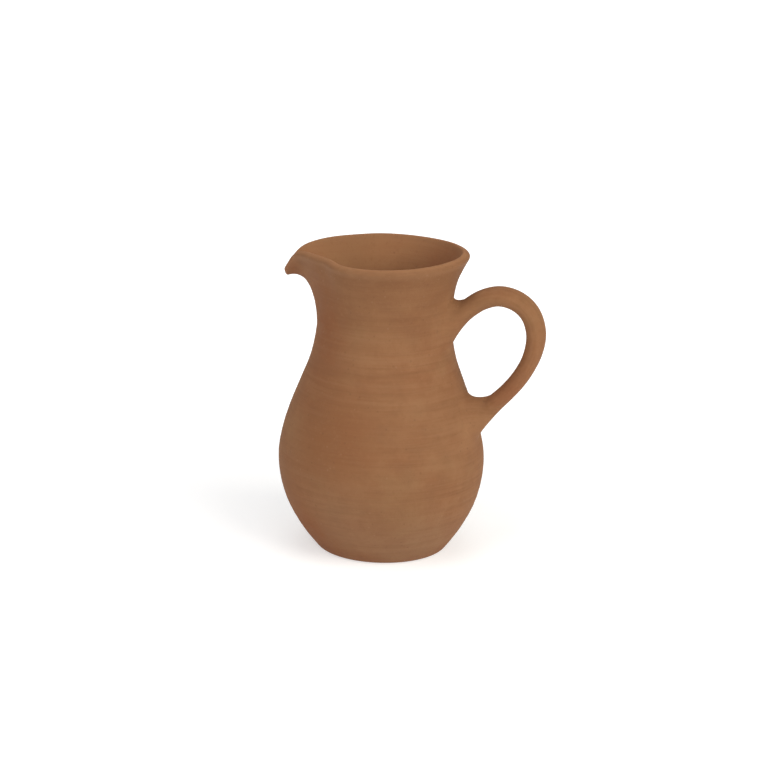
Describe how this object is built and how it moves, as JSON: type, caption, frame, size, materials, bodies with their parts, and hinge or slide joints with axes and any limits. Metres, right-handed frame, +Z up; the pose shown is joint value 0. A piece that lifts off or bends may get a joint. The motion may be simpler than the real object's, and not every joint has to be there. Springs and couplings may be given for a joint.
{
  "type": "pitcher",
  "caption": "Hand-thrown terracotta pitcher with a round belly, waisted neck, flared rim, finger-pulled spout and looped side handle, for holding and pouring drinks.",
  "frame": {"origin": "centre of the foot's flat resting face, on the table", "axes": "+Z up through the mouth, +X towards the handle, -X towards the spout, +Y across"},
  "size_m": [0.1758, 0.1358, 0.201],
  "materials": {
    "terracotta_wall": "matte unglazed terracotta with faint throwing lines",
    "terracotta_strap": "matte unglazed terracotta, smoothed with wet fingers",
    "joint_clay": "matte unglazed terracotta, wiped smooth"
  },
  "bodies": {
    "root": {"thrown_body": "terracotta_wall", "pulled_handle": "terracotta_strap", "upper_joint_coil": "joint_clay", "lower_joint_coil": "joint_clay"}
  },
  "joints": []
}
